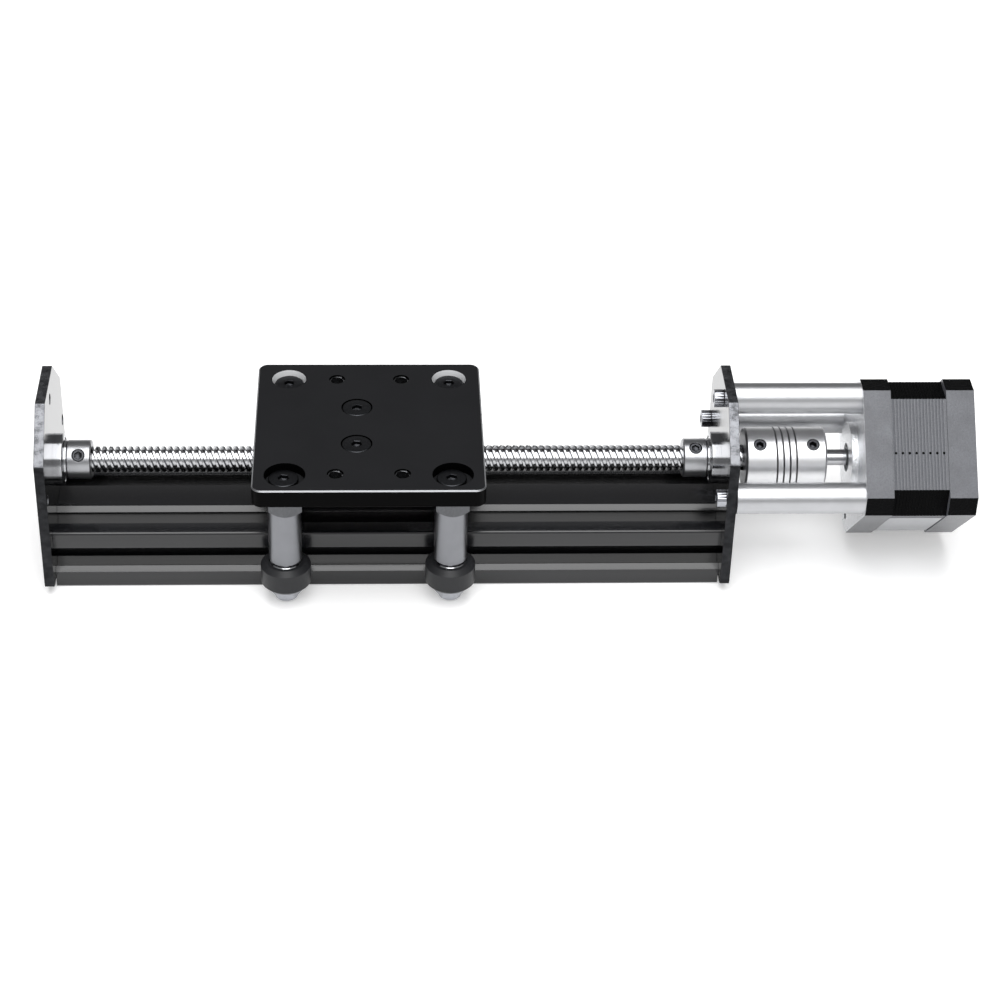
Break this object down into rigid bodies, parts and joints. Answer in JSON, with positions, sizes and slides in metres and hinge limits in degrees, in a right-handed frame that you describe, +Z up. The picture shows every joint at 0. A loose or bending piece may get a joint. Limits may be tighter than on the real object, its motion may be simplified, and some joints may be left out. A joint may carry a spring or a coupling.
{
  "type": "linear actuator module",
  "caption": "Lead-screw linear actuator: a wheeled carriage plate runs along a slotted rail, driven by a stepper motor through a beam coupling.",
  "frame": {"origin": "centre of the rail's bottom face", "axes": "+X along the rail toward the motor, +Y across the rail to the back, +Z up toward the carriage"},
  "size_m": [0.2846, 0.07, 0.0609],
  "materials": {
    "black_anodised": "black anodised, satin",
    "gloss_black": "gloss black",
    "bright_steel": "ground steel",
    "zinc_steel": "zinc plated",
    "black_steel": "black oxide",
    "aluminium": "satin turned",
    "black_plastic": "matte moulded",
    "cream_plastic": "moulded",
    "motor_black": "black painted laminations",
    "copper": "enamelled wire",
    "magnet": "sintered"
  },
  "bodies": {
    "frame": {"rail": "black_anodised", "end_plate_left": "gloss_black", "end_plate_right": "gloss_black", "rail_end_screws": "black_steel", "end_bearing_outer_rings": "bright_steel", "end_bearing_balls": "bright_steel", "motor_standoffs": "aluminium", "motor_mount_screws": "zinc_steel", "motor_front_bell": "aluminium", "motor_rear_bell": "motor_black", "motor_stator": "motor_black", "motor_coils": "copper", "motor_case_screws": "zinc_steel", "motor_bearing_outer_rings": "bright_steel", "motor_wave_washer": "bright_steel", "connector_socket": "cream_plastic", "connector_pins": "zinc_steel"},
    "drive_screw": {"lead_screw": "bright_steel", "lock_collars": "aluminium", "collar_set_screws": "black_steel", "screw_shims": "bright_steel", "end_bearing_inner_rings": "bright_steel", "shaft_coupling": "aluminium", "coupling_set_screws": "black_steel", "motor_shaft": "bright_steel", "rotor_cups": "bright_steel", "rotor_magnet": "magnet", "motor_bearing_inner_rings": "bright_steel"},
    "carriage": {"gantry_plate": "black_anodised", "nut_block": "black_plastic", "nut_block_screws": "black_steel", "axle_screws": "black_steel", "long_spacers": "aluminium", "eccentric_spacers": "zinc_steel", "short_spacers": "aluminium", "wheel_shims": "bright_steel", "wheel_bearing_inner_rings": "bright_steel", "lock_nuts": "zinc_steel"},
    "wheel_front_left": {"v_wheel_front_left": "black_plastic", "wheel_bearings_front_left": "bright_steel"},
    "wheel_front_right": {"v_wheel_front_right": "black_plastic", "wheel_bearings_front_right": "bright_steel"},
    "wheel_back_left": {"v_wheel_back_left": "black_plastic", "wheel_bearings_back_left": "bright_steel"},
    "wheel_back_right": {"v_wheel_back_right": "black_plastic", "wheel_bearings_back_right": "bright_steel"}
  },
  "joints": [
    {"name": "carriage_slide", "type": "slide", "parent": "frame", "child": "carriage", "axis": [1, 0, 0], "range_m": [-0.0573, 0.0693]},
    {"name": "screw_spin", "type": "hinge", "parent": "frame", "child": "drive_screw", "pos_m": [0, 0, 0.0337], "axis": [1, 0, 0], "range_deg": [-3135, 2595]},
    {"name": "wheel_front_left_spin", "type": "hinge", "parent": "carriage", "child": "wheel_front_left", "pos_m": [-0.0314, -0.026, 0.01], "axis": [0, 0, 1], "range_deg": [-490, 590]},
    {"name": "wheel_front_right_spin", "type": "hinge", "parent": "carriage", "child": "wheel_front_right", "pos_m": [0.0186, -0.026, 0.01], "axis": [0, 0, 1], "range_deg": [-490, 590]},
    {"name": "wheel_back_left_spin", "type": "hinge", "parent": "carriage", "child": "wheel_back_left", "pos_m": [-0.031, 0.026, 0.01], "axis": [0, 0, 1], "range_deg": [-590, 490]},
    {"name": "wheel_back_right_spin", "type": "hinge", "parent": "carriage", "child": "wheel_back_right", "pos_m": [0.019, 0.026, 0.01], "axis": [0, 0, 1], "range_deg": [-590, 490]}
  ],
  "couplings": [
    {"joint": "screw_spin", "follows": "carriage_slide", "rad_per_m": -785.4},
    {"joint": "wheel_front_left_spin", "follows": "carriage_slide", "rad_per_m": 147.06},
    {"joint": "wheel_front_right_spin", "follows": "carriage_slide", "rad_per_m": 147.06},
    {"joint": "wheel_back_left_spin", "follows": "carriage_slide", "rad_per_m": -147.06},
    {"joint": "wheel_back_right_spin", "follows": "carriage_slide", "rad_per_m": -147.06}
  ]
}
